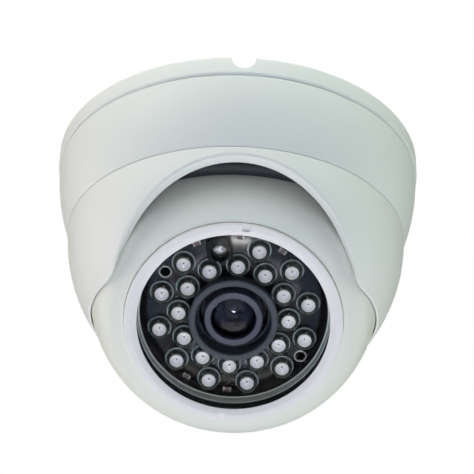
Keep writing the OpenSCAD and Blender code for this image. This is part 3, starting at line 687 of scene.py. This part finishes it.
def rear_ball():
    corner_r = math.sqrt(BALL_R ** 2 - REAR_Z ** 2)
    split_z = SPLIT_Z - SEAM_GAP
    skin = arc(0, 0, BALL_R, -38.0, math.degrees(math.asin(split_z / BALL_R)), 40)
    inside = arc(0, 0, BALL_R - WALL - 0.5, -13, -40, 14)
    outline = soften([(GLAND_R + 0.1, REAR_Z + WALL, 0.2), (GLAND_R + 0.1, REAR_Z, 0.25),
                      (corner_r - REAR_CHAMFER, REAR_Z, 5.0),
                      (corner_r + REAR_CHAMFER + 0.45, REAR_Z + 5.4, 2.0)]
                     + skin
                     + [(SPIGOT_R + 0.1, split_z), (SPIGOT_R + 0.1, split_z - 6.4)]
                     + inside
                     + [(corner_r - REAR_CHAMFER - 1, REAR_Z + WALL, 1.0)], 8)
    return lathe("rear_ball", outline)


def hexagon(name, bore_r, low, high):
    """A six-sided nut with its corners and edges broken."""
    bm = bmesh.new()
    prism(bm, arc(0, 0, NUT_R, 0, 300, 5), low, high)
    mesh = to_mesh(name, bm)
    cutter = bmesh.new()
    spin(cutter, bore(bore_r, low - 1, high + 1), 64, closed=False)
    return carve(mesh, cutter, bevel=0.35)


in_ball("ball_back", rear_ball(), ball_white, ["rear_shell"], body="ball_rear")
in_ball("gland_nut_hex", hexagon("gland_nut_hex", GLAND_R + 0.05, REAR_Z - NUT_H, REAR_Z), black,
        ["gland_nut"], body="ball_rear")
gland_low = REAR_Z - 3.6
gland_mid = REAR_Z + WALL
gland_top = gland_mid + 2
in_ball("gland_sleeve", lathe("gland_sleeve", soften([
    (GLAND_BORE_R, gland_low, 0.15), (GLAND_R, gland_low, 0.3), (GLAND_R, gland_mid),
    (GLAND_HEAD_R, gland_mid, 0.3), (GLAND_HEAD_R, gland_top, 0.3),
    (GLAND_BORE_R, gland_top, 0.15)], 4), 96), black,
    ["cable_gland"], body="ball_rear")
in_ball("cable_seal", lathe("cable_seal", soften([
    (CABLE_R, gland_low - 3, 0.3), (3.9, gland_low - 3, 0.5), (3.9, gland_low - 1.2, 0.3),
    (GLAND_R, gland_low - 1.2, 0.3), (GLAND_R, gland_low - 0.02, 0.2), (3.9, gland_low - 0.02),
    (3.9, gland_top, 0.1), (CABLE_R, gland_top, 0.1)], 5), 96), rubber,
    ["cable_grommet"], body="ball_rear")

# ---- Ball: front shell, bezel, window ----

def front_ball():
    far = BALL_R - 3.0
    inner = BALL_R - SHOULDER_R
    hollow_r = BALL_R - WALL
    turn = math.acos((inner ** 2 + far ** 2 - SHOULDER_R ** 2) / (2 * inner * far))
    angle = math.atan2(FACE_Z, FACE_R) - turn
    cx, cz = inner * math.cos(angle), inner * math.sin(angle)
    end = math.degrees(math.atan2(FACE_Z - cz, FACE_R - cx))
    angle = math.degrees(angle)
    outline = arc(0, 0, BALL_R, math.degrees(math.asin(SPLIT_Z / BALL_R)), angle, 40)
    outline += arc(cx, cz, SHOULDER_R, angle, end - 1.2, 26)[1:]
    outline += soften([(FACE_R, FACE_Z), (FACE_HOLE_R, FACE_Z, 0.2),
                       (FACE_HOLE_R, FACE_Z - 2)], 4)[:-1]
    outline += [(FACE_HOLE_R, LEDGE_Z)]
    outline += soften([(FACE_HOLE_R, LEDGE_Z), (BEZEL_IN_R, LEDGE_Z, 0.15),
                       (BEZEL_IN_R, BOARD_Z)], 3)[1:]
    outline += [(BOARD_R + 0.1, BOARD_Z), (BOARD_R + 0.1, SHELF_Z), (BOARD_R - 1.2, SHELF_Z),
                (BOARD_R - 1.2, SHELF_Z - 2),
                (math.sqrt(hollow_r ** 2 - (SHELF_Z - 2) ** 2), SHELF_Z - 2)]
    outline += arc(0, 0, hollow_r, 15, 2, 8)
    outline += [(SPIGOT_IN_R, 1.0), (SPIGOT_IN_R, SPIGOT_LOW),
                (SPIGOT_R, SPIGOT_LOW), (SPIGOT_R, SPLIT_Z)]
    return lathe("front_ball", outline, 256)


def bezel():
    corners = [
        (BEZEL_SKIRT_IN, LEDGE_Z + 0.1), (BEZEL_SKIRT_OUT, LEDGE_Z + 0.1),
        (BEZEL_SKIRT_OUT, BEZEL_Z, 0.35), (BEZEL_IN_R + 1.4, BEZEL_Z, 0.25),
        (BEZEL_IN_R, WINDOW_TOP + 0.15, 0.08), (BEZEL_IN_R, WINDOW_TOP),
        (BEZEL_SKIRT_IN, WINDOW_TOP)]
    mesh = lathe("bezel", soften(corners, 4), segments=256)
    cutter = bmesh.new()
    for a in (84.5, 264.5):
        add_box(cutter, (BEZEL_IN_R + 1.25, -0.95, BEZEL_Z - 0.55),
                (BEZEL_IN_R + 5, 0.95, BEZEL_Z + 1), Matrix.Rotation(math.radians(a), 4, "Z"))
    return carve(mesh, cutter, bevel=0.12)


in_ball("ball_face", front_ball(), ball_white, ["front_shell"])
in_ball("bezel", bezel(), bezel_white, ["bezel_ring"])
in_ball("window_pane", lathe("window_pane", soften([
    (0, WINDOW_LOW), (25.0, WINDOW_LOW, 0.15), (25.0, WINDOW_TOP, 0.15), (0, WINDOW_TOP)], 3)),
    window_clear, ["window"])
in_ball("window_gasket", lathe("window_gasket", soften([
    (23.2, LEDGE_Z, 0.1), (25.1, LEDGE_Z, 0.1), (25.1, WINDOW_LOW, 0.1),
    (23.2, WINDOW_LOW, 0.35)], 4)),
    rubber, ["window_seal"])


# ---- Light board ----

def board_turn(radius, angle):
    """Where a part sits on the board's face, turned with the board."""
    return (Matrix.Rotation(math.radians(BOARD_CLOCK + angle), 4, "Z")
            @ Matrix.Translation((radius * MM, 0, BOARD_Z * MM)))


def light_board():
    mesh = lathe("light_board", soften([
        (BOARD_HOLE_R, SHELF_Z, 0.05), (BOARD_R, SHELF_Z, 0.08), (BOARD_R, BOARD_Z, 0.08),
        (BOARD_HOLE_R, BOARD_Z, 0.05)], 2))
    cutter = bmesh.new()
    for a in RIVET_TURNS:
        spin(cutter, bore(RIVET_HOLE_R, -3, 3), 32, move=board_turn(RIVET_CIRCLE_R, a))
    return carve(mesh, cutter)


in_ball("board_face", light_board(), mask, ["light_board"])

dome_mesh = lathe("lamp_dome", [(0, 0.02), (LAMP_R, 0.02), (LAMP_R, 1.2)]
                  + arc(0, LAMP_H - LAMP_R, LAMP_R, 0, 90, 14)[:-1] + [(0, LAMP_H)], 48)
flange_mesh = lathe("lamp_foot", soften([
    (LAMP_R + 0.02, 0), (LAMP_FOOT_R, 0, 0.1), (LAMP_FOOT_R, 0.7, 0.16),
    (LAMP_R + 0.02, 0.7, 0.1)], 3), 48)


def reflector():
    """Cup, die and lead frame seen inside a lamp."""
    bm = bmesh.new()
    spin(bm, [(0.36, 1.15), (0.8, 1.25), (0.95, 1.42), (1.25, 1.52), (1.5, 1.9), (1.62, 1.98),
              (1.7, 1.9), (1.6, 1.2), (1.1, 0.9), (0.36, 0.95)], 32)
    add_box(bm, (-0.07, 0.2, 1.3), (0.07, 1.5, 1.45))
    spin(bm, [(0, 1.12), (0.38, 1.16), (0.38, 1.0), (0, 1.0)], 24)
    for y in (-1.27, 1.27):
        add_box(bm, (-0.22, y - 0.3, 0.05), (0.22, y + 0.3, 0.95))
    return to_mesh("lamp_cup", bm)


cup_mesh = reflector()
bm = bmesh.new()
spin(bm, [(0, 1.34), (0.24, 1.32), (0.28, 1.12), (0, 1.12)], 4)
die_mesh = to_mesh("lamp_die", bm)
lamps = [(f"outer_lamp_{i}", OUTER_R, 90 + 30 * i) for i in range(1, 12)]
lamps += [(f"inner_lamp_{i}", INNER_R, 75 + 30 * i) for i in range(1, 13)]
dome_mesh.materials.append(lamp_clear)
flange_mesh.materials.append(lamp_flange)
cup_mesh.materials.append(cup)
die_mesh.materials.append(die)
for lamp, radius, angle in lamps:
    at = board_turn(radius, angle)
    in_ball(lamp + "_dome", dome_mesh, None, [lamp], at)
    in_ball(lamp + "_foot", flange_mesh, None, (), at)
    in_ball(lamp + "_cup", cup_mesh, None, (), at)
    in_ball(lamp + "_die", die_mesh, None, (), at)


def hood():
    w, c = HOOD_HALF, HOOD_CORNER_R
    outline = [(HOOD_IN, -w), (HOOD_OUT - c, -w)] + arc(HOOD_OUT - c, -w + c, c, -90, 0, 8)[1:]
    outline += arc(HOOD_OUT - c, w - c, c, 0, 90, 8) + [(HOOD_IN, w)]
    bm = bmesh.new()
    prism(bm, outline, BOARD_Z, HOOD_TOP)
    mesh = to_mesh("hood", bm)
    cutter = bmesh.new()
    spin(cutter, bore(1.9, 10, 30), 40, move=Matrix.Translation((SENSOR_AT[0] * MM, 0, 0)))
    return carve(mesh, cutter, bevel=0.25)


in_ball("sensor_hood_cap", hood(), black, ["sensor_hood"],
        Matrix.Rotation(math.radians(BOARD_CLOCK + 90), 4, "Z"))
sensor_at = board_turn(*SENSOR_AT)
in_ball("light_sensor_eye",
        lathe("light_sensor_eye", [(0, 0), (1.75, 0), (1.75, 1.0), (1.2, 1.35), (0, 1.45)], 40),
        sensor_mat, ["light_sensor"], sensor_at)
bm = bmesh.new()
for turn in (90, 210, 330):
    add_box(bm, (0.1, -0.16, 1.3), (1.05, 0.16, 1.55), Matrix.Rotation(math.radians(turn), 4, "Z"))
add_box(bm, (-0.3, -0.3, 1.3), (0.3, 0.3, 1.6))
in_ball("light_sensor_frame", carve(to_mesh("light_sensor_frame", bm), bevel=0.04), cup, (),
        sensor_at)
in_ball("light_sensor_lens",
        lathe("light_sensor_lens", [(0, 1.66), (1.82, 1.66), (1.84, 2.1)]
              + arc(0, 0.9, 2.2, 33, 90, 10)[:-1] + [(0, 3.1)], 40),
        lamp_clear, (), sensor_at)
eyelet = lathe("rivets", soften([(1.2, -5), (1.4, -5), (1.4, 0), (1.6, 0, 0.1), (1.6, 0.3, 0.14),
                                (1.2, 0.3, 0.14)], 3), 40)
for i, a in enumerate(RIVET_TURNS):
    in_ball(f"rivet_{i + 1}", eyelet, tin, ["light_board_rivets"] if i == 0 else (),
            board_turn(RIVET_CIRCLE_R, a))

for i, (r, a) in enumerate([(20.6, 104.5), (20.4, 75.5), (20.4, 45), (20.4, 225), (20.4, 255)]):
    bm = bmesh.new()
    add_box(bm, (-0.6, -0.62, 0), (0.6, 0.62, 0.55))
    in_ball(f"chip_{i + 1}", carve(to_mesh("chip", bm), bevel=0.06), chip,
            ["light_board_chips"] if i == 0 else (), board_turn(r, a))
    bm = bmesh.new()
    for y in (-0.8, 0.8):
        add_box(bm, (-0.6, y - 0.2, 0), (0.6, y + 0.2, 0.6))
    in_ball(f"chip_ends_{i + 1}", carve(to_mesh("chip_ends", bm), bevel=0.08), tin, (),
            board_turn(r, a))

in_ball("shroud", lathe("shroud", soften([
    (9.0, BOARD_Z, 0), (10.25, BOARD_Z, 0), (10.8, HOOD_TOP, 0.45), (9.0, HOOD_TOP, 0.45)], 5)),
    shroud_rubber_sheen, ["lens_shroud"])


# ---- Lens ----

def lens_body():
    z = LENS_Z
    corners = [(LENS_TUBE_R, 3.5, 0.2), (LENS_TUBE_R, LENS_HEAD_Z), (LENS_HEAD_R, LENS_HEAD_Z, 0.1),
               (LENS_HEAD_R, z, 0.35), (LENS_IN_R, z, 0.3), (LENS_IN_R, z - 0.7),
               (LENS_TUBE_R, z - 1.5), (5.9, 3.5)]
    return lathe("lens_body", soften(corners, 4), 128)


def lens_inside():
    z = LENS_Z
    return lathe("lens_inside", [
        (LENS_IN_R, z - 0.72), (LENS_IN_R, z - 2.4), (4.6, z - 2.5), (3.6, z - 4.2), (3.2, 3.6),
        (5.85, 3.6), (5.85, z - 1.6)], 128)


in_ball("lens_tube", lens_body(), anodised, ["lens_barrel"], body="lens")
in_ball("lens_bore", lens_inside(), inner_black, (), body="lens")


def bulge(radius, rise, top):
    """Half of a shallow dome's outline, from its edge to its middle."""
    bow = (radius ** 2 + rise ** 2) / (2 * rise)
    edge = math.degrees(math.asin(radius / bow))
    return arc(0, top - bow, bow, 90 - edge, 90, 14)[:-1] + [(0, top)]


front_top = LENS_Z - 0.4
in_ball("lens_front",
        lathe("lens_front", [(0, front_top - 0.7)] + bulge(5.3, 0.95, front_top - 0.7)[::-1][1:]
              + bulge(5.32, 1.2, front_top), 96),
        lens_clear, ["front_glass"], body="lens")
in_ball("lens_stop",
        lathe("lens_stop", [(5.3, LENS_Z - 2.45), (4.5, LENS_Z - 2.55), (3.4, LENS_Z - 3.0),
                            (3.3, LENS_Z - 3.4), (2.0, LENS_Z - 3.5), (2.0, LENS_Z - 4.6),
                            (5.3, LENS_Z - 4.6)], 96),
        inner_black, (), body="lens")
in_ball("lens_second",
        lathe("lens_second", [(0, LENS_Z - 3.9), (1.98, LENS_Z - 3.9)]
              + bulge(1.98, 0.5, LENS_Z - 3.3)[1:], 64),
        lens_clear, (), body="lens")

# ---- Camera, light, stage ----

camera_data = bpy.data.cameras.new("camera")
camera = bpy.data.objects.new("camera", camera_data)
bpy.context.scene.collection.objects.link(camera)
spot = Vector((0.27, -316.68, -216.56)) * MM
target = Vector((0.27, 0, -21.37)) * MM
look = (target - spot).to_track_quat("-Z", "Y").to_matrix().to_4x4()
camera.matrix_world = Matrix.Translation(spot) @ look @ Matrix.Rotation(math.radians(1.68), 4, "Z")
camera_data.lens = 110.65
camera_data.sensor_width = 36.0
camera_data.clip_start = 0.01
bpy.context.scene.camera = camera


MIDDLE = Vector((0, 0, -0.035))
LIGHT_FAR = 1.1
LIGHT_W = 22.0


def studio_light(name, around, up, share, size=(0.7, 0.7)):
    """A panel of light (size in m) that looks at the camera's middle.

    It stands at an angle round from the front, towards +X, and an angle up. Its share of
    the full power is given for red, green and blue.
    """
    a, e = math.radians(around), math.radians(up)
    spoke = Vector((math.sin(a) * math.cos(e), -math.cos(a) * math.cos(e), math.sin(e)))
    at = MIDDLE + LIGHT_FAR * spoke
    most = max(share)
    light = bpy.data.lights.new(name, "AREA")
    light.energy = LIGHT_W * most
    light.color = tuple(s / most for s in share)
    light.shape = "RECTANGLE"
    light.size, light.size_y = size
    lamp = bpy.data.objects.new(name, light)
    bpy.context.scene.collection.objects.link(lamp)
    turn = (MIDDLE - at).to_track_quat("-Z", "Y").to_matrix().to_4x4()
    lamp.matrix_world = Matrix.Translation(at) @ turn


studio_light("over", 0, 62, (0.44, 0.435, 0.42))
studio_light("low_front", 0, -42, (0.085, 0.095, 0.105))
studio_light("under", 180, -74, (0.16, 0.155, 0.13), (0.9, 0.6))
studio_light("left", -95, 0, (0.26, 0.23, 0.21))
studio_light("right", 95, 0, (0.175, 0.185, 0.155))
studio_light("front_left", -50, 30, (0.165, 0.18, 0.175))
studio_light("front_right", 50, 30, (0.08, 0.12, 0.11))
studio_light("low_left", -60, -60, (0.026, 0.045, 0.075))
studio_light("low_right", 60, -60, (0.01, 0.022, 0.05))
studio_light("haze", 0, -76, (0.02, 0.0195, 0.024), (0.32, 0.09))
studio_light("spark", 0, -64, (0.06, 0.06, 0.06), (0.12, 0.07))
studio_light("spark_high", -12, 48, (0.02, 0.02, 0.02), (0.12, 0.07))
studio_light("behind", 180, 25, (0.2, 0.2, 0.2))

world = bpy.data.worlds.new("studio")
bpy.context.scene.world = world
world.use_nodes = True
tree = world.node_tree
background = tree.nodes["Background"]
background.inputs["Color"].default_value = (1, 1, 1, 1)
background.inputs["Strength"].default_value = 0.03
seen = tree.nodes.new("ShaderNodeBackground")
seen.inputs["Color"].default_value = (1, 1, 1, 1)
seen.inputs["Strength"].default_value = 1.0
path = tree.nodes.new("ShaderNodeLightPath")
mix = mix_shaders(tree, path.outputs["Is Camera Ray"], background, seen)
tree.links.new(mix.outputs[0], tree.nodes["World Output"].inputs["Surface"])

# The floor is a pale sheet far below, and the lens sees it almost as white as the world.
FLOOR_HALF = 60.0
FLOOR_DROP = 1.2
floor_mesh = bpy.data.meshes.new("floor")
bm = bmesh.new()
bmesh.ops.create_grid(bm, x_segments=1, y_segments=1, size=FLOOR_HALF)
bm.to_mesh(floor_mesh)
bm.free()
floor = bpy.data.objects.new("floor", floor_mesh)
floor.location = (0, 0, -FLOOR_DROP)
bpy.context.scene.collection.objects.link(floor)
pale = textured("pale_floor", (0.8, 0.8, 0.8), (0.82, 0.82, 0.82), 0.6, grain=40.0)
tree = pale.node_tree
glow = node(pale, "ShaderNodeEmission", Strength=0.88)
path = node(pale, "ShaderNodeLightPath")
mix = mix_shaders(tree, path.outputs["Is Camera Ray"], tree.nodes["Principled BSDF"], glow)
tree.links.new(mix.outputs[0], tree.nodes["Material Output"].inputs["Surface"])
floor_mesh.materials.append(pale)

bpy.context.scene.view_settings.view_transform = "Standard"
